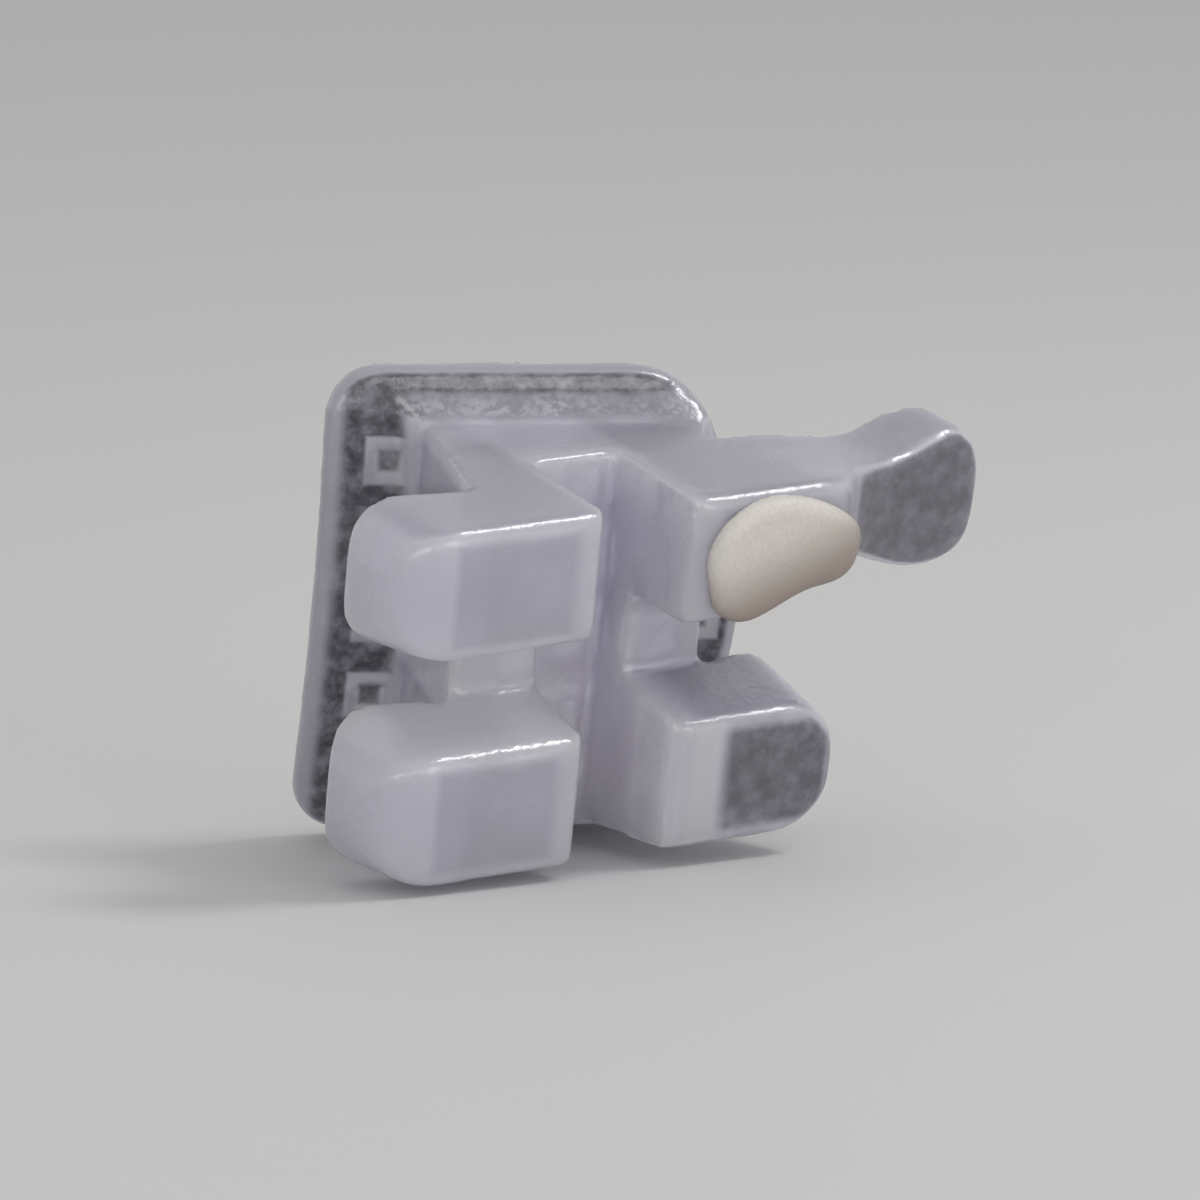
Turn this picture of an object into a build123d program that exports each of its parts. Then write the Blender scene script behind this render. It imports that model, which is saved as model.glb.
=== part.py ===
from build123d import *
import os
from math import cos, sin, tan, radians

# Twin orthodontic bracket with a gingival hook, moulded in one piece from translucent
# polycrystalline alumina, and a drop of identification paint on the hooked tie wing.
#
# It is drawn in the bracket's own axes and stood on its side at the end:
#   X across the archwire slot, occlusal tie wings at -X, gingival tie wings and hook at +X
#   Y along the archwire slot
#   Z away from the tooth, with zero on the slot floor
# All lengths in millimetres, all angles in degrees.

# Archwire slot, 0.022 in wide, with rounded lead-ins.
slot_width = 0.56
slot_depth = 0.85
slot_lead_in = 0.13
slot_corner = 0.03

# Tie wings, as seen from the labial side.
occlusal_reach = 1.61
gingival_reach = 1.43
wing_span = 2.11
valley_mouth = 0.58
valley_depth = 0.58
valley_draft = 9.5
# Corner radii as shares of a wing's width on the labial face: of the upper wing, and of the lower wings'
# outer side and valley side.
upper_corner_share = 0.46
occlusal_corner_shares = (0.52, 0.44)
gingival_corner_shares = (0.50, 0.47)

# Tie wings, as seen along the slot: depths below the labial face. A crown is how far a wing's end falls
# away, along the labial face and below it.
wing_root_depth = 0.60
wing_back_depth = 0.73
occlusal_crown = (0.36, 0.28)
gingival_crown = (0.13, 0.10)
wing_back_round = 0.15
wing_edge_round = 0.09

# Lower side of the body, which opens out towards the base; the upper side stands straight.
lower_flare = 8.5

# Hook: (reach, height along the slot) from the lower side round the end to the upper side.
hook_root = 0.48
hook_lower_side = ((0.94, 0.36), (1.28, 0.46), (1.68, 0.39))
hook_bulb = ((2.22, 0.22), (2.54, 0.31), (2.62, 0.64), (2.58, 0.91), (2.42, 1.05))
hook_upper_side = ((2.08, 0.97), (1.76, 0.95), (1.40, 1.02))
hook_front_start = 1.12
hook_front_dip = 0.1
hook_front_depths = ((1.62, 0.34), (2.10, 0.48), (2.80, 0.56))
hook_back_depths = ((2.80, 1.14), (1.90, 0.97), (1.45, 0.89), (0.85, 0.88))

# Stem between the wings and the base: its sides stand square to the inclined base.
stem_occlusal = 0.85
stem_gingival = 0.80
stem_foot_occlusal = 0.43
stem_foot_gingival = 1.08
stem_sink = 1.05
stem_rise = 0.34

# Bonding base, inclined to the slot and curved along it to fit the tooth.
base_torque = 18.0
base_curve_radius = 7.4
base_drop = 0.795
base_thickness = 0.17
base_occlusal = 1.00
base_gingival = 1.50
base_gingival_bulge = 0.45
base_upper = 1.31
base_lower = 1.50
base_occlusal_corner = 0.30
base_gingival_corner = 0.50
base_rim_round = 0.04

# Slope where the stem runs out into the base.
foot_slope = 0.12
foot_sink = 0.06
foot_angle = 45.0

# Square retention pockets in the bonding surface.
pocket_size = 0.27
pocket_pitch = 0.47
pocket_start = -0.60
pocket_side_shift = -0.235
pocket_depth = 0.09
pocket_rows = 5
pocket_columns = 4
pocket_last_rows = 2
pocket_round = 0.03

# Drop of identification paint on the hooked wing.
paint_outline = ((0.39, 0.57), (0.43, 0.86), (0.66, 1.01), (1.00, 1.00), (1.30, 0.86), (1.48, 0.64),
                 (1.36, 0.51), (1.06, 0.45), (0.80, 0.35), (0.58, 0.31), (0.44, 0.40))
paint_rise = 0.10
paint_round = 0.08
paint_wrap = 0.10

# How it lies: on its lower side, on the edge of the base and the two lower tie wings.
lean_angle = 13.0
roll_angle = 2.2

# Reach of the construction solids past the bracket, and a length below any edge of it.
clear = 4.0
hair = 0.001

labial_z = slot_depth
root_z = labial_z - wing_root_depth
back_z = labial_z - wing_back_depth
floor_z = labial_z - valley_depth
half_span = wing_span / 2
half_mouth = valley_mouth / 2
wing_width = half_span - half_mouth
flare_run = clear * tan(radians(lower_flare))
draft_run = clear * tan(radians(valley_draft))

# Base plane: its X runs up the inclined base towards the gingival edge, its Z out of the base.
torque = radians(base_torque)
base_plane = Plane(origin=(0, 0, -base_drop), x_dir=(cos(torque), 0, sin(torque)),
                   z_dir=(-sin(torque), 0, cos(torque)))
# Plane across the base, in which the tooth's curve is drawn: X along the slot, Y out of the base.
arc_plane = Plane(origin=base_plane.origin, x_dir=(0, 1, 0), z_dir=base_plane.x_dir)

# Where the stem's faces meet the front of the base, along the base.
foot_gingival_end = stem_foot_gingival * cos(torque) + (base_drop - stem_rise) * sin(torque)
foot_occlusal_end = -stem_foot_occlusal * cos(torque) + (base_drop - stem_sink) * sin(torque)
lower_foot = half_span + (labial_z + base_drop) * tan(radians(lower_flare))

# The grid of pockets starts at the gingival side of the occlusal rim.
pocket_centre = (pocket_start + pocket_pitch * (pocket_columns - 1) / 2, pocket_side_shift)
last_pocket_centre = (pocket_start + pocket_pitch * pocket_columns, 0)


def labial_rim(wings):
    # Long edges of the flat labial face, without the seams along the slot.
    return [edge for edge in wings.edges()
            if edge.position_at(0.5).Z > labial_z - hair and edge.bounding_box().size.X > hair]


def end_edges(wings, reach):
    # The edges of a wing's end that run down from the labial face, the lowest first.
    return wings.edges().filter_by(
        lambda edge: abs(edge.position_at(0.5).X - reach) < hair and edge.bounding_box().size.Z > hair
    ).sort_by(Axis.Y)


# Envelope of the body seen along X: its straight upper side and flared lower side.
with BuildPart() as side_envelope:
    with BuildSketch(Plane.YZ):
        with BuildLine():
            Polyline(
                (half_span, labial_z),
                (half_span, labial_z - clear),
                (-half_span - flare_run, labial_z - clear),
                (-half_span, labial_z),
                (half_span, labial_z),
            )
        make_face()
    extrude(amount=clear, both=True)

# Lower pair of tie wings, occlusal and gingival, as one bar before the slot is cut: flared below and
# drafted towards the valley.
with BuildPart() as lower_bar:
    with BuildSketch(Plane.YZ.offset(-occlusal_reach)):
        with BuildLine():
            Polyline(
                (-half_mouth, labial_z),
                (-half_span, labial_z),
                (-half_span - flare_run, labial_z - clear),
                (-half_mouth + draft_run, labial_z - clear),
                (-half_mouth, labial_z),
            )
        make_face()
    extrude(amount=occlusal_reach + gingival_reach)
    for reach, shares in ((-occlusal_reach, occlusal_corner_shares),
                          (gingival_reach, gingival_corner_shares)):
        for place, share in zip((0, -1), shares):
            fillet(end_edges(lower_bar, reach)[place], radius=wing_width * share)
    with BuildSketch(Plane.XZ) as lower_section:
        with BuildLine():
            face = Line((gingival_reach - gingival_crown[0], labial_z),
                        (-occlusal_reach + occlusal_crown[0], labial_z))
            occlusal_end = TangentArc(
                face @ 1, (-occlusal_reach, labial_z - occlusal_crown[1]), tangent=(-1, 0))
            gingival_end = TangentArc(
                face @ 0, (gingival_reach, labial_z - gingival_crown[1]), tangent=(1, 0))
            Polyline(
                occlusal_end @ 1,
                (-occlusal_reach, back_z),
                (-stem_occlusal, root_z),
                (stem_gingival, root_z),
                (gingival_reach, back_z),
                gingival_end @ 1,
            )
        make_face()
        fillet(lower_section.vertices().group_by(Axis.Y)[0], radius=wing_back_round)
    extrude(amount=clear, both=True, mode=Mode.INTERSECT)
    fillet(labial_rim(lower_bar), radius=wing_edge_round)

# Occlusal tie wing of the upper pair.
with BuildPart() as upper_wing:
    with BuildSketch(Plane.YZ.offset(-occlusal_reach)):
        with BuildLine():
            Polyline(
                (half_mouth, labial_z),
                (half_mouth - draft_run, labial_z - clear),
                (half_span, labial_z - clear),
                (half_span, labial_z),
                (half_mouth, labial_z),
            )
        make_face()
    extrude(amount=occlusal_reach)
    for place in (0, -1):
        fillet(end_edges(upper_wing, -occlusal_reach)[place], radius=wing_width * upper_corner_share)
    with BuildSketch(Plane.XZ) as upper_section:
        with BuildLine():
            face = Line((0, labial_z), (-occlusal_reach + occlusal_crown[0], labial_z))
            occlusal_end = TangentArc(
                face @ 1, (-occlusal_reach, labial_z - occlusal_crown[1]), tangent=(-1, 0))
            Polyline(
                occlusal_end @ 1,
                (-occlusal_reach, back_z),
                (-stem_occlusal, root_z),
                (0, root_z),
                face @ 0,
            )
        make_face()
        fillet(upper_section.vertices().sort_by_distance((-occlusal_reach, back_z))[:1],
               radius=wing_back_round)
    extrude(amount=clear, both=True, mode=Mode.INTERSECT)
    fillet(labial_rim(upper_wing), radius=wing_edge_round)

# Gingival tie wing of the upper pair, which runs out into the hook.
with BuildPart() as hook_wing:
    with BuildSketch(Plane.XZ):
        with BuildLine():
            crown = Line((0, labial_z), (hook_front_start, labial_z))
            front = Spline(
                crown @ 1,
                *[(reach, labial_z - depth) for reach, depth in hook_front_depths],
                tangents=(crown % 1, (1, -hook_front_dip)),
            )
            heel = Line(front @ 1, (hook_front_depths[-1][0], labial_z - hook_back_depths[0][1]))
            back = Spline(
                heel @ 1,
                *[(reach, labial_z - depth) for reach, depth in hook_back_depths[1:]],
            )
            Polyline(back @ 1, (0, labial_z - hook_back_depths[-1][1]), (0, labial_z))
        make_face()
    extrude(amount=clear, both=True)
    with BuildSketch(Plane.XY.offset(-clear)):
        with BuildLine():
            lower_edge = Line((0, half_mouth), (hook_root, half_mouth))
            hook_rim = Spline(
                lower_edge @ 1,
                *hook_lower_side,
                *hook_bulb,
                *hook_upper_side,
                (hook_root, half_span),
                tangents=(lower_edge % 1, (-1, 0)),
            )
            Polyline(hook_rim @ 1, (0, half_span), (0, half_mouth))
        make_face()
    extrude(amount=clear + clear, mode=Mode.INTERSECT)
    fillet(labial_rim(hook_wing), radius=wing_edge_round)

# Stem: leans with the base, so its sides stand square to it.
with BuildPart() as stem:
    with BuildSketch(Plane.XZ):
        with BuildLine():
            Polyline(
                (-stem_occlusal, floor_z),
                (stem_gingival, floor_z),
                (stem_gingival, root_z),
                (stem_foot_gingival, -stem_rise),
                (stem_foot_gingival, -stem_sink),
                (-stem_foot_occlusal, -stem_sink),
                (-stem_occlusal, root_z),
                (-stem_occlusal, floor_z),
            )
        make_face()
    extrude(amount=clear, both=True)
    add(side_envelope.part, mode=Mode.INTERSECT)

# Curved solid whose outer surface is the front of the base, and the tooth that it fits.
with BuildPart() as base_front:
    with BuildSketch(arc_plane.offset(-clear)):
        with Locations((0, -base_curve_radius)):
            Circle(base_curve_radius + base_thickness)
    extrude(amount=clear + clear)

with BuildPart() as tooth:
    with BuildSketch(arc_plane.offset(-clear)):
        with Locations((0, -base_curve_radius)):
            Circle(base_curve_radius)
    extrude(amount=clear + clear)

# Plan of the base: straight occlusal edge, bowed gingival edge, rounded corners.
with BuildPart() as base_plan:
    with BuildSketch(base_plane.offset(-base_thickness * 4)) as base_outline:
        with BuildLine():
            Polyline(
                (base_gingival - base_gingival_bulge, -base_lower),
                (-base_occlusal, -base_lower),
                (-base_occlusal, base_upper),
                (base_gingival - base_gingival_bulge, base_upper),
            )
            ThreePointArc(
                (base_gingival - base_gingival_bulge, base_upper),
                (base_gingival, (base_upper - base_lower) / 2),
                (base_gingival - base_gingival_bulge, -base_lower),
            )
        make_face()
        fillet(base_outline.vertices().group_by(Axis.X)[0], radius=base_occlusal_corner)
        fillet(base_outline.vertices().group_by(Axis.X)[-1], radius=base_gingival_corner)
    extrude(amount=base_thickness * 6)

# Base plate.
with BuildPart() as base:
    add(base_plan.part)
    add(base_front.part, mode=Mode.INTERSECT)
    fillet(base.faces().filter_by(GeomType.CYLINDER).sort_by(SortBy.AREA)[-1].edges(),
           radius=base_rim_round)

# Slope at the foot of the stem.
with BuildPart() as foot:
    with BuildSketch(base_plane.offset(base_thickness - foot_sink)):
        with Locations(((foot_gingival_end + foot_occlusal_end) / 2, (half_span - lower_foot) / 2)):
            Rectangle(foot_gingival_end - foot_occlusal_end + foot_slope * 2,
                      half_span + lower_foot + foot_slope * 2)
    extrude(amount=foot_sink + foot_slope, taper=foot_angle)
    add(base_plan.part, mode=Mode.INTERSECT)

# Square pockets that hold the adhesive, all of one depth below the curved surface.
with BuildPart() as pockets:
    with BuildSketch(base_plane.offset(-base_thickness * 4)):
        with Locations(pocket_centre):
            with GridLocations(pocket_pitch, pocket_pitch, pocket_columns, pocket_rows):
                RectangleRounded(pocket_size, pocket_size, pocket_round)
        with Locations(last_pocket_centre):
            with GridLocations(pocket_pitch, pocket_pitch, 1, pocket_last_rows):
                RectangleRounded(pocket_size, pocket_size, pocket_round)
    extrude(amount=base_thickness * 6)
    with BuildSketch(arc_plane.offset(-clear)):
        with Locations((0, -base_curve_radius)):
            Circle(base_curve_radius + pocket_depth)
    extrude(amount=clear + clear, mode=Mode.INTERSECT)

# The bracket in one piece.
with BuildPart() as bracket:
    add(base.part)
    add(foot.part)
    add(stem.part)
    add(lower_bar.part)
    add(upper_wing.part)
    add(hook_wing.part)
    add(tooth.part, mode=Mode.SUBTRACT)
    add(pockets.part, mode=Mode.SUBTRACT)
    # Archwire slot with rounded lead-ins.
    with BuildSketch(Plane.XZ) as slot_section:
        with BuildLine():
            Polyline(
                (-slot_width / 2, labial_z - slot_lead_in),
                (-slot_width / 2, 0),
                (slot_width / 2, 0),
                (slot_width / 2, labial_z - slot_lead_in),
            )
            RadiusArc(
                (slot_width / 2, labial_z - slot_lead_in),
                (slot_width / 2 + slot_lead_in, labial_z),
                slot_lead_in,
            )
            Polyline(
                (slot_width / 2 + slot_lead_in, labial_z),
                (slot_width / 2 + slot_lead_in, labial_z + clear),
                (-slot_width / 2 - slot_lead_in, labial_z + clear),
                (-slot_width / 2 - slot_lead_in, labial_z),
            )
            RadiusArc(
                (-slot_width / 2 - slot_lead_in, labial_z),
                (-slot_width / 2, labial_z - slot_lead_in),
                slot_lead_in,
            )
        make_face()
        fillet(slot_section.vertices().group_by(Axis.Y)[0], radius=slot_corner)
    extrude(amount=clear, both=True, mode=Mode.SUBTRACT)


# Drop of paint over the labial face of the hooked wing, thicker than the wing's rounded edge.
with BuildPart() as paint:
    with BuildSketch(Plane.XZ):
        with BuildLine():
            paint_crown = Line((0, labial_z + paint_rise), (hook_front_start, labial_z + paint_rise))
            paint_front = Spline(
                paint_crown @ 1,
                *[(reach, labial_z + paint_rise - depth) for reach, depth in hook_front_depths],
                tangents=(paint_crown % 1, (1, -hook_front_dip)),
            )
            Polyline(
                paint_front @ 1,
                (hook_front_depths[-1][0], back_z),
                (0, back_z),
                (0, labial_z + paint_rise),
            )
        make_face()
    extrude(amount=clear, both=True)
    with BuildSketch(Plane.XY.offset(labial_z - paint_wrap)):
        with BuildLine():
            Spline(*paint_outline, periodic=True)
        make_face()
    extrude(amount=clear, mode=Mode.INTERSECT)
    fillet(paint.faces().sort_by(Axis.Z)[-1].edges(), radius=paint_round)
    add(bracket.part, mode=Mode.SUBTRACT)

# Both pieces turned from the bracket's own axes to the way it lies.
with BuildPart() as bracket_body:
    add(bracket.part.rotate(Axis.X, 90 + lean_angle).rotate(Axis.Y, -roll_angle))

with BuildPart() as colour_mark:
    add(paint.part.rotate(Axis.X, 90 + lean_angle).rotate(Axis.Y, -roll_angle))

bracket_body.part.label = "bracket_body"
colour_mark.part.label = "colour_mark"

os.makedirs("parts", exist_ok=True)
export_step(bracket_body.part, "parts/bracket_body.step")
export_step(colour_mark.part, "parts/colour_mark.step")
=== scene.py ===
import bpy
import math
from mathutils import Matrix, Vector


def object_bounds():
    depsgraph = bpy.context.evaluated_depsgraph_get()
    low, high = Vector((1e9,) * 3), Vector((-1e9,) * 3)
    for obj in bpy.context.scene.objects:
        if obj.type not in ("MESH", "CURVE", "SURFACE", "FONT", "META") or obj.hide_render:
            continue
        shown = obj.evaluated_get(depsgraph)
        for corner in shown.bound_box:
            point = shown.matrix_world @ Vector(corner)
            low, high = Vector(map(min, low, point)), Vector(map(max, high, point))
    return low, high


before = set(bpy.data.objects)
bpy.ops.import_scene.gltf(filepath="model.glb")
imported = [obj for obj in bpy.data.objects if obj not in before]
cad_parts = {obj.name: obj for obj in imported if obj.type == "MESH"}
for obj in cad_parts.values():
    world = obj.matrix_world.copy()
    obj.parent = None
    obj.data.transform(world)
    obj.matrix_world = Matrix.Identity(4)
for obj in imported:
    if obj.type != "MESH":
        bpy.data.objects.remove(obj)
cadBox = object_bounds()
print("frame loaded:", sorted(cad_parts))

mm = 0.001


def hexColour(code):  # sRGB hex to the linear values that a shader takes
    parts = [int(code[i:i + 2], 16) / 255 for i in (1, 3, 5)]
    linear = [c / 12.92 if c <= 0.04045 else ((c + 0.055) / 1.055) ** 2.4 for c in parts]
    return (*linear, 1.0)


def addNode(tree, kind, settings=None, out=0):  # a value that is another node's socket is linked
    node = tree.nodes.new(kind)
    for name, value in (settings or {}).items():
        if isinstance(value, bpy.types.NodeSocket):
            tree.links.new(value, node.inputs[name])
        elif isinstance(name, int) or name in node.inputs:
            node.inputs[name].default_value = value
        else:
            setattr(node, name, value)
    return node.outputs[out] if node.outputs else node


def newMaterial(name):
    material = bpy.data.materials.new(name)
    material.use_nodes = True
    material.node_tree.nodes.clear()
    return material, material.node_tree


def finishMaterial(piece, material):
    piece.data.materials.clear()
    piece.data.materials.append(material)


# how the bracket was laid down and how its base leans: the same turns and lengths as in the solids
lie = {"lean": 13.0, "roll": 2.2, "torque": 18.0, "baseDrop": 0.795}


def bracketAxes(tree, vector):  # turned back from the way it lies: X across the slot, Y along, Z labial
    unrolled = addNode(tree, "ShaderNodeVectorRotate",
                       {"rotation_type": "Y_AXIS", "Angle": math.radians(lie["roll"]), "Vector": vector})
    return addNode(tree, "ShaderNodeVectorRotate",
                   {"rotation_type": "X_AXIS", "Angle": -math.radians(90 + lie["lean"]),
                    "Vector": unrolled})


def bracketPlace(tree):  # millimetres in the bracket's axes
    place = addNode(tree, "ShaderNodeTexCoord", out="Object")
    return addNode(tree, "ShaderNodeVectorMath",
                   {"operation": "SCALE", 0: bracketAxes(tree, place), "Scale": 1 / mm})


# Translucent polycrystalline alumina, injection moulded, sintered and tumbled: milky lavender grey, with
# painted light making it paler along the rounded edges, painted shade making it darker and mottled where
# it is clear enough to see through, painted glints in a strip at the foot of the stem, and the pockets of
# the other side showing through as pale squares.
# Lengths are in millimetres along the bracket's axes or its base plate's. A pair of values says where a
# zone starts and where it is full, and a share says how much of it is laid on.
# Of these colours, edge, slot and rim carry painted light and the glint white carries painted glints;
# clear and margin carry painted shade for the dark seen through the ceramic, clear also tones the clouds
# and streaks, and rim is also the plate's milky sides.
alumina = {
    "milk": "#d0cedb", "edge": "#e2e0ed", "clear": "#6e6c76", "slot": "#f1eefb",
    "margin": "#403e46", "marginPale": "#9b99a3", "rim": "#bbb9c5", "glintWhite": "#fbfaff", "ring": "#c3c2ca",
    "roughness": 0.23, "clearness": 0.48, "refraction": 1.76, "scatterDepth": 0.6,
    "cloudSize": 0.9, "speckSize": 0.04, "patchSize": 0.11, "driftSize": 0.3,
    "streakWidth": 0.17, "streaksAlong": 2.2,
    "noise": {"cloud": (0.35, 0.7), "streak": (0.42, 0.66), "mottle": (0.32, 0.74), "patch": (0.33, 0.76),
              "glintSpecks": (0.44, 0.56), "drift": (0.34, 0.52)},
    "cloudShare": 0.12, "streakShare": 0.38, "leastMottle": 0.78, "leastGlints": 0.3, "leastDrift": 0.35,
    "grainSize": 0.035, "grainDepth": 0.010, "rippleSize": 0.09, "rippleDepth": 0.012,
    "ripplePair": (0.2, -0.2), "leastRipple": 0.25,
    "facing": {"rounded": (0.975, 0.82), "top": (0.70, 0.95), "side": (0.80, 0.95), "labial": (0.68, 0.90),
               "plate": (0.55, 0.9), "gap": 0.1},
    "frame": {"slotSide": (0.54, 0.42), "valleySide": (0.40, 0.33), "outerSide": (0.93, 1.00),
              "occlusalEnd": (-1.22, -1.30), "gingivalEnd": (1.30, 1.38)},
    "frameShare": 0.6, "topShare": 0.4, "stemShare": 0.1,
    "upperPair": (0.30, 0.80), "gingivalPair": (0.35, 0.60), "wingHeight": (-0.55, -0.20),
    "streakSide": (0.10, 0.20), "lowerWing": -0.2, "paintedLightBand": (0.36, 0.46),
    "clearWing": (0.57, 0.71), "clearHook": (1.26, 1.40),
    "slotWalls": (0.42, 0.28), "slotFade": (0.7, -0.9), "slotShare": 0.5,
    "valleyWalls": (0.38, 0.28), "valleyShare": 0.9, "occlusalHalf": -0.2,
    "plateRadius": 7.4, "plateTop": (0.25, 0.18), "stemTop": (1.06, 1.08), "plateReach": 1.6,
    "sideBand": (-0.87, -0.95), "bulgeMiddle": (-0.918, -0.095, 0), "bulgeBand": (2.318, 2.368),
    "bandShare": 0.85, "footTop": (1.21, 1.12), "footStart": (-0.80, -0.30),
    "pocketPitch": 0.47, "pocketStart": -0.645, "pocketLift": 0.09, "pocketWall": (0.155, 0.125),
    "pocketHole": (0.04, 0.08), "pocketsFrom": -0.80, "pocketsTo": 0.94,
    "gap": -0.445, "gapHalf": 0.03, "gapEnds": (0.14, 0.10), "gapShare": 0.75, "gapHeight": 0.42,
}


def sinteredAlumina():
    s = alumina
    noise, faces = s["noise"], s["facing"]
    torque = math.radians(lie["torque"])
    material, tree = newMaterial("sinteredAlumina")
    place = bracketPlace(tree)
    normal = bracketAxes(tree, addNode(tree, "ShaderNodeTexCoord", out="Normal"))
    across = addNode(tree, "ShaderNodeSeparateXYZ", {"Vector": place}, "X")
    along = addNode(tree, "ShaderNodeSeparateXYZ", {"Vector": place}, "Y")
    labial = addNode(tree, "ShaderNodeSeparateXYZ", {"Vector": place}, "Z")
    facing = addNode(tree, "ShaderNodeSeparateXYZ", {"Vector": normal}, "Z")

    # milky body with soft clouds
    clouds = addNode(tree, "ShaderNodeTexNoise",
                     {"Scale": 1 / s["cloudSize"], "Detail": 4.0, "Vector": place}, "Fac")
    speck = addNode(tree, "ShaderNodeTexNoise",
                    {"Scale": 1 / s["speckSize"], "Detail": 3.0, "Vector": place}, "Fac")
    cloudy = addNode(tree, "ShaderNodeMapRange",
                     {"Value": clouds, "From Min": noise["cloud"][0], "From Max": noise["cloud"][1],
                      "To Max": s["cloudShare"]})

    # rounded edges: where the surface faces between two of the bracket's directions
    sides = addNode(tree, "ShaderNodeVectorMath", {"operation": "ABSOLUTE", 0: normal})
    sideX = addNode(tree, "ShaderNodeSeparateXYZ", {"Vector": sides}, "X")
    sideY = addNode(tree, "ShaderNodeSeparateXYZ", {"Vector": sides}, "Y")
    sideZ = addNode(tree, "ShaderNodeSeparateXYZ", {"Vector": sides}, "Z")
    squareXY = addNode(tree, "ShaderNodeMath", {"operation": "MAXIMUM", 0: sideX, 1: sideY})
    square = addNode(tree, "ShaderNodeMath", {"operation": "MAXIMUM", 0: squareXY, 1: sideZ})
    rounded = addNode(tree, "ShaderNodeMapRange",
                      {"interpolation_type": "SMOOTHSTEP", "Value": square,
                       "From Min": faces["rounded"][1], "From Max": faces["rounded"][0],
                       "To Min": 1.0, "To Max": 0.0})

    # painted light: a pale frame round each wing's labial face, inside its rounded edge, laid with the
    # rounded edges themselves
    f = s["frame"]
    farAcross = addNode(tree, "ShaderNodeMath", {"operation": "ABSOLUTE", 0: across})
    farAlong = addNode(tree, "ShaderNodeMath", {"operation": "ABSOLUTE", 0: along})
    framed = rounded
    for value, (none, full) in ((farAcross, f["slotSide"]), (farAlong, f["valleySide"]),
                                (farAlong, f["outerSide"]), (across, f["occlusalEnd"]),
                                (across, f["gingivalEnd"])):
        strip = addNode(tree, "ShaderNodeMapRange",
                        {"interpolation_type": "SMOOTHSTEP", "Value": value,
                         "From Min": min(full, none), "From Max": max(full, none),
                         "To Min": float(full < none), "To Max": float(full > none)})
        framed = addNode(tree, "ShaderNodeMath", {"operation": "MAXIMUM", 0: framed, 1: strip})
    milk = addNode(tree, "ShaderNodeMix",
                   {"data_type": "RGBA", 0: cloudy, 6: hexColour(s["milk"]), 7: hexColour(s["clear"])}, 2)
    # painted light: rounded edges and frame lightened towards the edge colour
    body = addNode(tree, "ShaderNodeMix",
                   {"data_type": "RGBA", 0: framed, 6: milk, 7: hexColour(s["edge"])}, 2)

    # painted shade: the upward-facing wing tops of the upper pair, of the gingival side and of the hook
    # are darkened a little towards the clear colour
    upward = addNode(tree, "ShaderNodeSeparateXYZ", {"Vector": normal}, "Y")
    topFace = addNode(tree, "ShaderNodeMapRange",
                      {"interpolation_type": "SMOOTHSTEP", "Value": upward,
                       "From Min": faces["top"][0], "From Max": faces["top"][1],
                       "To Max": s["topShare"]})
    upperPair = addNode(tree, "ShaderNodeMapRange",
                        {"interpolation_type": "SMOOTHSTEP", "Value": along,
                         "From Min": s["upperPair"][0], "From Max": s["upperPair"][1]})
    gingival = addNode(tree, "ShaderNodeMapRange",
                       {"interpolation_type": "SMOOTHSTEP", "Value": across,
                        "From Min": s["gingivalPair"][0], "From Max": s["gingivalPair"][1]})
    topShadeZone = addNode(tree, "ShaderNodeMath", {"operation": "MAXIMUM", 0: upperPair, 1: gingival})
    onWings = addNode(tree, "ShaderNodeMapRange",
                      {"interpolation_type": "SMOOTHSTEP", "Value": labial,
                       "From Min": s["wingHeight"][0], "From Max": s["wingHeight"][1],
                       "To Min": s["stemShare"]})
    wingTop = addNode(tree, "ShaderNodeMath", {"operation": "MULTIPLY", 0: topFace, 1: onWings})
    shadedTops = addNode(tree, "ShaderNodeMath", {"operation": "MULTIPLY", 0: wingTop, 1: topShadeZone})
    body = addNode(tree, "ShaderNodeMix",
                   {"data_type": "RGBA", 0: shadedTops, 6: body, 7: hexColour(s["clear"])}, 2)

    # faint streaks that run along the slot in the sides of the gingival wings
    stretched = addNode(tree, "ShaderNodeVectorMath",
                        {"operation": "MULTIPLY", 0: place,
                         1: (1 / s["streakWidth"], s["streaksAlong"], 1 / s["streakWidth"])})
    streaks = addNode(tree, "ShaderNodeTexNoise",
                      {"Scale": 1.0, "Detail": 2.0, "Vector": stretched}, "Fac")
    streaky = addNode(tree, "ShaderNodeMapRange",
                      {"interpolation_type": "SMOOTHSTEP", "Value": streaks,
                       "From Min": noise["streak"][0], "From Max": noise["streak"][1],
                       "To Max": s["streakShare"]})
    sideZone = addNode(tree, "ShaderNodeMapRange",
                       {"interpolation_type": "SMOOTHSTEP", "Value": across,
                        "From Min": s["streakSide"][0], "From Max": s["streakSide"][1]})
    sideFace = addNode(tree, "ShaderNodeMapRange",
                       {"interpolation_type": "SMOOTHSTEP", "Value": sideX,
                        "From Min": faces["side"][0], "From Max": faces["side"][1]})
    streakZone = addNode(tree, "ShaderNodeMath", {"operation": "MULTIPLY", 0: sideZone, 1: sideFace})
    streak = addNode(tree, "ShaderNodeMath", {"operation": "MULTIPLY", 0: streaky, 1: streakZone})
    body = addNode(tree, "ShaderNodeMix",
                   {"data_type": "RGBA", 0: streak, 6: body, 7: hexColour(s["clear"])}, 2)
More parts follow.
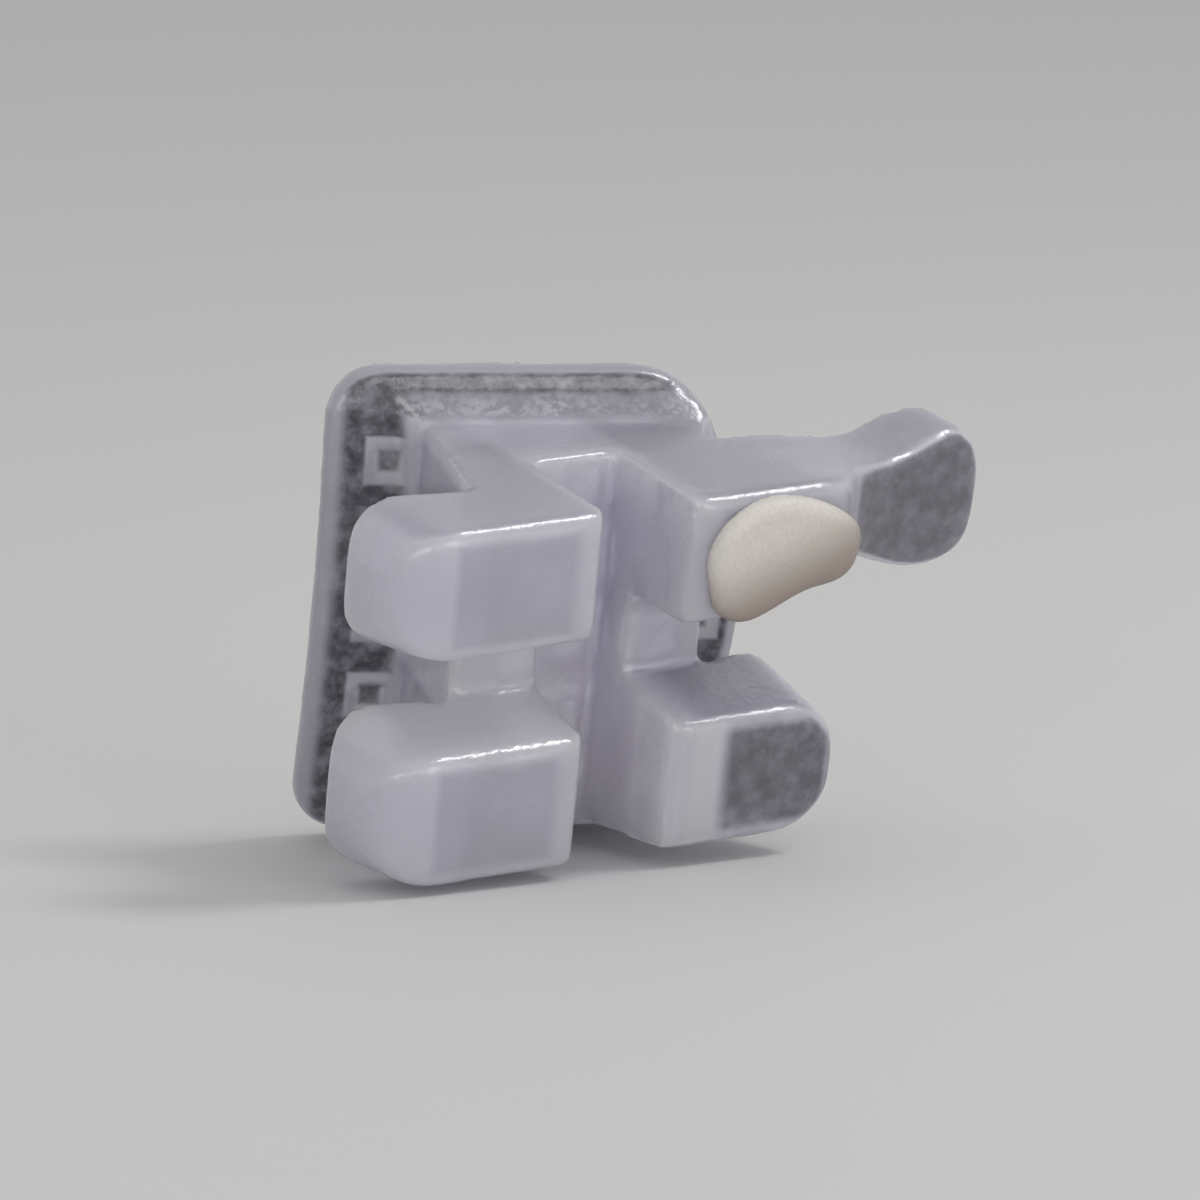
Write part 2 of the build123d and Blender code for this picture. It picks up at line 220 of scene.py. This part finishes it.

    # painted shade, mottled, on the labial faces of the end of the lower gingival wing and of the hook,
    # with a pale band of painted light beside it
    labialFace = addNode(tree, "ShaderNodeMapRange",
                         {"interpolation_type": "SMOOTHSTEP", "Value": facing,
                          "From Min": faces["labial"][0], "From Max": faces["labial"][1]})
    wingEnd = addNode(tree, "ShaderNodeMapRange",
                      {"interpolation_type": "SMOOTHSTEP", "Value": across,
                       "From Min": s["clearWing"][0], "From Max": s["clearWing"][1]})
    lowerWing = addNode(tree, "ShaderNodeMath", {"operation": "LESS_THAN", 0: along, 1: s["lowerWing"]})
    onLowerWing = addNode(tree, "ShaderNodeMapRange",
                          {"interpolation_type": "SMOOTHSTEP", "Value": across,
                           "From Min": s["paintedLightBand"][0], "From Max": s["paintedLightBand"][1]})
    paintedLightBand = addNode(tree, "ShaderNodeMath", {"operation": "MULTIPLY", 0: onLowerWing, 1: lowerWing})
    paintedLightBand = addNode(tree, "ShaderNodeMath", {"operation": "MULTIPLY", 0: paintedLightBand, 1: labialFace})
    body = addNode(tree, "ShaderNodeMix",
                   {"data_type": "RGBA", 0: paintedLightBand, 6: body, 7: hexColour(s["slot"])}, 2)
    insideFrame = addNode(tree, "ShaderNodeMath",
                          {"operation": "MULTIPLY_ADD", 0: framed, 1: -s["frameShare"], 2: 1.0})
    wingInside = addNode(tree, "ShaderNodeMath", {"operation": "MULTIPLY", 0: wingEnd, 1: insideFrame})
    onWing = addNode(tree, "ShaderNodeMath", {"operation": "MULTIPLY", 0: wingInside, 1: lowerWing})
    onHook = addNode(tree, "ShaderNodeMapRange",
                     {"interpolation_type": "SMOOTHSTEP", "Value": across,
                      "From Min": s["clearHook"][0], "From Max": s["clearHook"][1]})
    either = addNode(tree, "ShaderNodeMath", {"operation": "MAXIMUM", 0: onWing, 1: onHook})
    clear = addNode(tree, "ShaderNodeMath", {"operation": "MULTIPLY", 0: either, 1: labialFace})
    patches = addNode(tree, "ShaderNodeTexNoise",
                      {"Scale": 1 / s["patchSize"], "Detail": 4.0, "Roughness": 0.6,
                       "Vector": place}, "Fac")
    mottle = addNode(tree, "ShaderNodeMapRange",
                     {"interpolation_type": "SMOOTHSTEP", "Value": patches,
                      "From Min": noise["mottle"][0], "From Max": noise["mottle"][1],
                      "To Min": 1.0, "To Max": s["leastMottle"]})
    paintedDarkWindow = addNode(tree, "ShaderNodeMath", {"operation": "MULTIPLY", 0: clear, 1: mottle})
    body = addNode(tree, "ShaderNodeMix",
                   {"data_type": "RGBA", 0: paintedDarkWindow, 6: body, 7: hexColour(s["clear"])}, 2)

    # painted light: walls and floor of the slot, more strongly low down, and of the occlusal valley are
    # lightened against the shade that falls in them
    inSlot = addNode(tree, "ShaderNodeMapRange",
                     {"interpolation_type": "SMOOTHSTEP", "Value": farAcross,
                      "From Min": s["slotWalls"][1], "From Max": s["slotWalls"][0],
                      "To Min": 1.0, "To Max": 0.0})
    lowInSlot = addNode(tree, "ShaderNodeMapRange",
                        {"interpolation_type": "SMOOTHSTEP", "Value": along,
                         "From Min": s["slotFade"][1], "From Max": s["slotFade"][0],
                         "To Min": 1.0, "To Max": s["slotShare"]})
    between = addNode(tree, "ShaderNodeMath", {"operation": "MULTIPLY", 0: inSlot, 1: lowInSlot})
    inValley = addNode(tree, "ShaderNodeMapRange",
                       {"interpolation_type": "SMOOTHSTEP", "Value": farAlong,
                        "From Min": s["valleyWalls"][1], "From Max": s["valleyWalls"][0],
                        "To Min": s["valleyShare"], "To Max": 0.0})
    occlusalSide = addNode(tree, "ShaderNodeMath",
                           {"operation": "LESS_THAN", 0: across, 1: s["occlusalHalf"]})
    paintedValleyLight = addNode(tree, "ShaderNodeMath", {"operation": "MULTIPLY", 0: inValley, 1: occlusalSide})
    between = addNode(tree, "ShaderNodeMath", {"operation": "MAXIMUM", 0: between, 1: paintedValleyLight})
    body = addNode(tree, "ShaderNodeMix",
                   {"data_type": "RGBA", 0: between, 6: body, 7: hexColour(s["slot"])}, 2)

    # base plate: along it (rise) and above it (height), with the curve taken out
    plateAlong = (math.cos(torque), 0, math.sin(torque))
    plateOut = (-math.sin(torque), 0, math.cos(torque))
    riseDot = addNode(tree, "ShaderNodeVectorMath",
                      {"operation": "DOT_PRODUCT", 0: place, 1: plateAlong}, "Value")
    rise = addNode(tree, "ShaderNodeMath",
                   {"operation": "ADD", 0: riseDot, 1: lie["baseDrop"] * math.sin(torque)})
    heightDot = addNode(tree, "ShaderNodeVectorMath",
                        {"operation": "DOT_PRODUCT", 0: place, 1: plateOut}, "Value")
    bow = addNode(tree, "ShaderNodeMath", {"operation": "MULTIPLY", 0: along, 1: along})
    bowed = addNode(tree, "ShaderNodeMath",
                    {"operation": "MULTIPLY_ADD", 0: bow, 1: 0.5 / s["plateRadius"], 2: heightDot})
    height = addNode(tree, "ShaderNodeMath",
                     {"operation": "ADD", 0: bowed, 1: lie["baseDrop"] * math.cos(torque)})
    low = addNode(tree, "ShaderNodeMapRange",
                  {"interpolation_type": "SMOOTHSTEP", "Value": height,
                   "From Min": s["plateTop"][1], "From Max": s["plateTop"][0],
                   "To Min": 1.0, "To Max": 0.0})
    pastStem = addNode(tree, "ShaderNodeMapRange",
                       {"Value": along, "From Min": s["stemTop"][0], "From Max": s["stemTop"][1]})
    low = addNode(tree, "ShaderNodeMath", {"operation": "MAXIMUM", 0: low, 1: pastStem})
    notHook = addNode(tree, "ShaderNodeMath", {"operation": "LESS_THAN", 0: rise, 1: s["plateReach"]})
    onPlate = addNode(tree, "ShaderNodeMath", {"operation": "MULTIPLY", 0: low, 1: notHook})

    # sides and back of the plate stay milky in the rim colour; its front takes the margin's painted shade
    plateFacing = addNode(tree, "ShaderNodeVectorMath",
                          {"operation": "DOT_PRODUCT", 0: normal, 1: plateOut}, "Value")
    front = addNode(tree, "ShaderNodeMapRange",
                    {"interpolation_type": "SMOOTHSTEP", "Value": plateFacing,
                     "From Min": faces["plate"][0], "From Max": faces["plate"][1]})

    # margin: painted shade, dark and mottled, with a paler band of painted light at its outer edge and
    # painted glints sparkling along the foot of the stem
    flat = addNode(tree, "ShaderNodeCombineXYZ", {"X": rise, "Y": along})
    patchy = addNode(tree, "ShaderNodeMapRange",
                     {"interpolation_type": "SMOOTHSTEP", "Value": patches,
                      "From Min": noise["patch"][0], "From Max": noise["patch"][1]})
    margin = addNode(tree, "ShaderNodeMix",
                     {"data_type": "RGBA", 0: patchy, 6: hexColour(s["margin"]),
                      7: hexColour(s["marginPale"])}, 2)
    sideBand = addNode(tree, "ShaderNodeMapRange",
                       {"interpolation_type": "SMOOTHSTEP", "Value": rise,
                        "From Min": s["sideBand"][1], "From Max": s["sideBand"][0],
                        "To Min": s["bandShare"], "To Max": 0.0})
    fromBulge = addNode(tree, "ShaderNodeVectorMath",
                        {"operation": "DISTANCE", 0: flat, 1: s["bulgeMiddle"]}, "Value")
    endBand = addNode(tree, "ShaderNodeMapRange",
                      {"interpolation_type": "SMOOTHSTEP", "Value": fromBulge,
                       "From Min": s["bulgeBand"][0], "From Max": s["bulgeBand"][1],
                       "To Max": s["bandShare"]})
    bands = addNode(tree, "ShaderNodeMath", {"operation": "MAXIMUM", 0: sideBand, 1: endBand})
    margin = addNode(tree, "ShaderNodeMix",
                     {"data_type": "RGBA", 0: bands, 6: margin, 7: hexColour(s["rim"])}, 2)
    # painted glints: white specks along the foot of the stem
    glintSpecks = addNode(tree, "ShaderNodeMapRange",
                      {"interpolation_type": "SMOOTHSTEP", "Value": speck,
                       "From Min": noise["glintSpecks"][0], "From Max": noise["glintSpecks"][1],
                       "To Min": s["leastGlints"]})
    drifts = addNode(tree, "ShaderNodeTexNoise",
                     {"Scale": 1 / s["driftSize"], "Detail": 2.0, "Vector": place}, "Fac")
    drifting = addNode(tree, "ShaderNodeMapRange",
                       {"interpolation_type": "SMOOTHSTEP", "Value": drifts,
                        "From Min": noise["drift"][0], "From Max": noise["drift"][1],
                        "To Min": s["leastDrift"]})
    glintSpecks = addNode(tree, "ShaderNodeMath", {"operation": "MULTIPLY", 0: glintSpecks, 1: drifting})
    upperFoot = addNode(tree, "ShaderNodeMapRange",
                        {"interpolation_type": "SMOOTHSTEP", "Value": along,
                         "From Min": s["footTop"][1], "From Max": s["footTop"][0],
                         "To Min": 1.0, "To Max": 0.0})
    footLength = addNode(tree, "ShaderNodeMapRange",
                         {"interpolation_type": "SMOOTHSTEP", "Value": rise,
                          "From Min": s["footStart"][0], "From Max": s["footStart"][1]})
    aboveStem = addNode(tree, "ShaderNodeMath", {"operation": "MULTIPLY", 0: pastStem, 1: footLength})
    footStrip = addNode(tree, "ShaderNodeMath", {"operation": "MULTIPLY", 0: upperFoot, 1: aboveStem})
    paintedGlints = addNode(tree, "ShaderNodeMath", {"operation": "MULTIPLY", 0: glintSpecks, 1: footStrip})
    margin = addNode(tree, "ShaderNodeMix",
                     {"data_type": "RGBA", 0: paintedGlints, 6: margin, 7: hexColour(s["glintWhite"])}, 2)

    # pockets of the other side, seen through the margin as pale squares
    pitch = s["pocketPitch"]
    grid = addNode(tree, "ShaderNodeVectorMath",
                   {"operation": "SUBTRACT", 0: flat,
                    1: (s["pocketStart"] - pitch / 2, s["pocketLift"], 0)})
    cell = addNode(tree, "ShaderNodeVectorMath",
                   {"operation": "WRAP", 0: grid, 1: (pitch, pitch, 1), 2: (0, 0, 0)})
    cellMiddle = addNode(tree, "ShaderNodeVectorMath",
                         {"operation": "SUBTRACT", 0: cell, 1: (pitch / 2, pitch / 2, 0)})
    cellSize = addNode(tree, "ShaderNodeVectorMath", {"operation": "ABSOLUTE", 0: cellMiddle})
    cellX = addNode(tree, "ShaderNodeSeparateXYZ", {"Vector": cellSize}, "X")
    cellY = addNode(tree, "ShaderNodeSeparateXYZ", {"Vector": cellSize}, "Y")
    fromMiddle = addNode(tree, "ShaderNodeMath", {"operation": "MAXIMUM", 0: cellX, 1: cellY})
    ringOut = addNode(tree, "ShaderNodeMapRange",
                      {"interpolation_type": "SMOOTHSTEP", "Value": fromMiddle,
                       "From Min": s["pocketWall"][1], "From Max": s["pocketWall"][0],
                       "To Min": 1.0, "To Max": 0.0})
    ringIn = addNode(tree, "ShaderNodeMapRange",
                     {"interpolation_type": "SMOOTHSTEP", "Value": fromMiddle,
                      "From Min": s["pocketHole"][0], "From Max": s["pocketHole"][1]})
    ring = addNode(tree, "ShaderNodeMath", {"operation": "MULTIPLY", 0: ringOut, 1: ringIn})

    # painted shade: a dark bar in the margin colour between the columns of pockets, on the foot of the
    # stem
    barAcross = addNode(tree, "ShaderNodeMath",
                        {"operation": "COMPARE", 0: rise, 1: s["gap"], 2: s["gapHalf"]})
    barAlong = addNode(tree, "ShaderNodeMapRange",
                       {"interpolation_type": "SMOOTHSTEP", "Value": cellY,
                        "From Min": s["gapEnds"][1], "From Max": s["gapEnds"][0],
                        "To Min": s["gapShare"], "To Max": 0.0})
    bar = addNode(tree, "ShaderNodeMath", {"operation": "MULTIPLY", 0: barAcross, 1: barAlong})
    frontOnly = addNode(tree, "ShaderNodeMath",
                        {"operation": "GREATER_THAN", 0: plateFacing, 1: faces["gap"]})
    bar = addNode(tree, "ShaderNodeMath", {"operation": "MULTIPLY", 0: bar, 1: frontOnly})
    nearPlate = addNode(tree, "ShaderNodeMath", {"operation": "LESS_THAN", 0: height, 1: s["gapHeight"]})
    bar = addNode(tree, "ShaderNodeMath", {"operation": "MULTIPLY", 0: bar, 1: nearPlate})
    bodyWithGapShade = addNode(tree, "ShaderNodeMix",
                          {"data_type": "RGBA", 0: bar, 6: body, 7: hexColour(s["margin"])}, 2)

    # pockets are shown where the margin is clear in front of them
    nearFoot = addNode(tree, "ShaderNodeMath",
                       {"operation": "GREATER_THAN", 0: rise, 1: s["pocketsFrom"]})
    belowTop = addNode(tree, "ShaderNodeMath", {"operation": "LESS_THAN", 0: along, 1: s["pocketsTo"]})
    shown = addNode(tree, "ShaderNodeMath", {"operation": "MULTIPLY", 0: nearFoot, 1: belowTop})
    ringShown = addNode(tree, "ShaderNodeMath", {"operation": "MULTIPLY", 0: ring, 1: shown})
    margin = addNode(tree, "ShaderNodeMix",
                     {"data_type": "RGBA", 0: ringShown, 6: margin, 7: hexColour(s["ring"])}, 2)
    margin = addNode(tree, "ShaderNodeMix",
                     {"data_type": "RGBA", 0: front, 6: hexColour(s["rim"]), 7: margin}, 2)
    colour = addNode(tree, "ShaderNodeMix",
                     {"data_type": "RGBA", 0: onPlate, 6: bodyWithGapShade, 7: margin}, 2)

    # fine sintered grain, and low ripples that are stronger on the lower pair
    grain = addNode(tree, "ShaderNodeTexNoise",
                    {"Scale": 1 / s["grainSize"], "Detail": 2.0, "Vector": place}, "Fac")
    relief = addNode(tree, "ShaderNodeBump",
                     {"Strength": 0.35, "Distance": s["grainDepth"] * mm, "Height": grain})
    waves = addNode(tree, "ShaderNodeTexNoise",
                    {"Scale": 1 / s["rippleSize"], "Detail": 1.0, "Vector": place}, "Fac")
    lowerPair = addNode(tree, "ShaderNodeMapRange",
                        {"Value": along, "From Min": s["ripplePair"][1], "From Max": s["ripplePair"][0],
                         "To Min": 1.0, "To Max": s["leastRipple"]})
    rippled = addNode(tree, "ShaderNodeMath", {"operation": "MULTIPLY", 0: waves, 1: lowerPair})
    relief = addNode(tree, "ShaderNodeBump",
                     {"Strength": 0.5, "Distance": s["rippleDepth"] * mm, "Height": rippled,
                      "Normal": relief})
    shader = addNode(tree, "ShaderNodeBsdfPrincipled",
                     {"Roughness": s["roughness"], "IOR": s["refraction"], "Subsurface Weight": 1.0,
                      "Subsurface Radius": (1.0, 1.0, 1.0), "Subsurface Scale": s["scatterDepth"] * mm,
                      "Transmission Weight": s["clearness"], "Base Color": colour, "Normal": relief})
    addNode(tree, "ShaderNodeOutputMaterial", {"Surface": shader})
    return material


# Opaque identification paint, dabbed on and dried: a satin drop with fine grit, cream, with painted shade
# making it a little darker and warmer towards its lower edge.
paint = {
    "cream": "#dad5cd", "darkerTone": "#968980", "roughness": 0.48, "refraction": 1.5,
    "scatterShare": 0.15, "scatterDepth": 0.06,
    "shadeWay": (-0.35, 0.94, 0), "shadeZone": (0.54, 0.06),
    "gritSize": 0.022, "gritNoise": (0.35, 0.65), "gritShare": 0.14, "gritDepth": 0.006,
}


def driedPaint():
    s = paint
    material, tree = newMaterial("driedPaint")
    place = bracketPlace(tree)
    # painted shade: darker towards the drop's lower edge
    slant = addNode(tree, "ShaderNodeVectorMath",
                    {"operation": "DOT_PRODUCT", 0: place, 1: s["shadeWay"]}, "Value")
    darkerTone = addNode(tree, "ShaderNodeMapRange",
                   {"interpolation_type": "SMOOTHSTEP", "Value": slant,
                    "From Min": s["shadeZone"][1], "From Max": s["shadeZone"][0],
                    "To Min": 1.0, "To Max": 0.0})
    colour = addNode(tree, "ShaderNodeMix",
                     {"data_type": "RGBA", 0: darkerTone, 6: hexColour(s["cream"]), 7: hexColour(s["darkerTone"])}, 2)
    grain = addNode(tree, "ShaderNodeTexNoise",
                    {"Scale": 1 / s["gritSize"], "Detail": 2.0, "Vector": place}, "Fac")
    gritty = addNode(tree, "ShaderNodeMapRange",
                     {"Value": grain, "From Min": s["gritNoise"][0], "From Max": s["gritNoise"][1],
                      "To Max": s["gritShare"]})
    colour = addNode(tree, "ShaderNodeMix",
                     {"data_type": "RGBA", 0: gritty, 6: colour, 7: hexColour(s["darkerTone"])}, 2)
    relief = addNode(tree, "ShaderNodeBump",
                     {"Strength": 0.3, "Distance": s["gritDepth"] * mm, "Height": grain})
    shader = addNode(tree, "ShaderNodeBsdfPrincipled",
                     {"Roughness": s["roughness"], "IOR": s["refraction"],
                      "Subsurface Weight": s["scatterShare"], "Subsurface Radius": (1.0, 0.9, 0.7),
                      "Subsurface Scale": s["scatterDepth"] * mm, "Base Color": colour, "Normal": relief})
    addNode(tree, "ShaderNodeOutputMaterial", {"Surface": shader})
    return material


# tumbling rounds every edge of the moulded piece, and wet paint draws itself smooth
soften = {
    "bracket_body": {"join": 0.0005, "grain": 0.025, "share": 0.5, "passes": 22},
    "colour_mark": {"join": 0.0005, "grain": 0.015, "share": 0.5, "passes": 6},
}


def softenEdges(node):
    s = soften[node]
    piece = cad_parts[node]
    weld = piece.modifiers.new("join", "WELD")
    weld.merge_threshold = s["join"] * mm
    skin = piece.modifiers.new("skin", "REMESH")
    skin.mode = "VOXEL"
    skin.voxel_size = s["grain"] * mm
    skin.use_smooth_shade = True
    tumble = piece.modifiers.new("tumble", "SMOOTH")
    tumble.factor = s["share"]
    tumble.iterations = s["passes"]
    return piece


finishMaterial(softenEdges("bracket_body"), sinteredAlumina())
finishMaterial(softenEdges("colour_mark"), driedPaint())
print("ceramic and paint finished")


# pale table and a pale room
room = {"floor": "#d9d8d6", "floorSize": 400, "floorRoughness": 0.7, "sky": "#e4e4e6", "skyLight": 0.62}


def layFloor():
    s = room
    bpy.ops.object.select_all(action="DESELECT")
    bpy.ops.mesh.primitive_plane_add(size=s["floorSize"] * mm, location=(0, 0, cadBox[0][2]))
    floor = bpy.context.object
    floor.name = "table"
    material, tree = newMaterial("paleTable")
    shader = addNode(tree, "ShaderNodeBsdfPrincipled",
                     {"Base Color": hexColour(s["floor"]), "Roughness": s["floorRoughness"]})
    addNode(tree, "ShaderNodeOutputMaterial", {"Surface": shader})
    finishMaterial(floor, material)


def paintSky():
    s = room
    world = bpy.data.worlds.new("paleRoom")
    bpy.context.scene.world = world
    world.use_nodes = True
    tree = world.node_tree
    tree.nodes.clear()
    seen = addNode(tree, "ShaderNodeLightPath", out="Is Camera Ray")
    for ray in ("Is Glossy Ray", "Is Transmission Ray"):
        mirrored = addNode(tree, "ShaderNodeLightPath", out=ray)
        seen = addNode(tree, "ShaderNodeMath", {"operation": "MAXIMUM", 0: seen, 1: mirrored})
    shown = addNode(tree, "ShaderNodeBackground", {"Color": hexColour(s["sky"]), "Strength": 1.0})
    lit = addNode(tree, "ShaderNodeBackground",
                  {"Color": hexColour(s["sky"]), "Strength": s["skyLight"]})
    either = addNode(tree, "ShaderNodeMixShader", {0: seen, 1: lit, 2: shown})
    addNode(tree, "ShaderNodeOutputWorld", {"Surface": either})


# soft boxes: where they hang round the object, in millimetres, and how strong they are
lamps = {
    "overhead": {"place": (-10, -6, 60), "size": 45, "watts": 0.001},
    "leftFill": {"place": (-60, -45, 6), "size": 50, "watts": 0.012},
    "frontFill": {"place": (6, -74, 4), "size": 50, "watts": 0.0165},
    "glint": {"place": (25, -17, 40), "size": 12, "watts": 0.0065},
}


def hangLamps():
    for name, s in lamps.items():
        light = bpy.data.lights.new(name, "AREA")
        light.size = s["size"] * mm
        light.energy = s["watts"]
        lamp = bpy.data.objects.new(name, light)
        lamp.location = Vector(s["place"]) * mm
        lamp.rotation_euler = (-lamp.location).to_track_quat("-Z", "Y").to_euler()
        bpy.context.scene.collection.objects.link(lamp)


# the photograph's viewing angle, in degrees and millimetres, and where the spot on the table in front
# of the slot lies in its frame of 1200 by 1200
view = {
    "azimuth": 33.3, "elevation": 10.18, "distance": 52.78, "spot": (0.008, -0.828, -1.233),
    "spotPixel": (638.96, 869.79), "focalPixels": 9485, "framePixels": 1200,
    "sensor": 36, "clip": (1, 2000),
}


def placeCamera():
    s = view
    azimuth, elevation = math.radians(s["azimuth"]), math.radians(s["elevation"])
    back = Vector((-math.sin(azimuth) * math.cos(elevation), -math.cos(azimuth) * math.cos(elevation),
                   math.sin(elevation)))
    right = Vector((math.cos(azimuth), -math.sin(azimuth), 0))
    up = back.cross(right)
    camera = bpy.data.objects.new("camera", bpy.data.cameras.new("camera"))
    camera.location = (Vector(s["spot"]) + back * s["distance"]) * mm
    middle = s["framePixels"] / 2
    aim = (-back * s["focalPixels"] + right * (middle - s["spotPixel"][0])
           + up * (s["spotPixel"][1] - middle))
    camera.rotation_euler = aim.to_track_quat("-Z", "Y").to_euler()
    camera.data.sensor_width = s["sensor"]
    camera.data.lens = s["sensor"] * s["focalPixels"] / s["framePixels"]
    camera.data.clip_start = s["clip"][0] * mm
    camera.data.clip_end = s["clip"][1] * mm
    bpy.context.scene.collection.objects.link(camera)
    bpy.context.scene.camera = camera


layFloor()
paintSky()
hangLamps()
placeCamera()
bpy.context.scene.view_settings.view_transform = "Standard"
print("table, light and camera set")
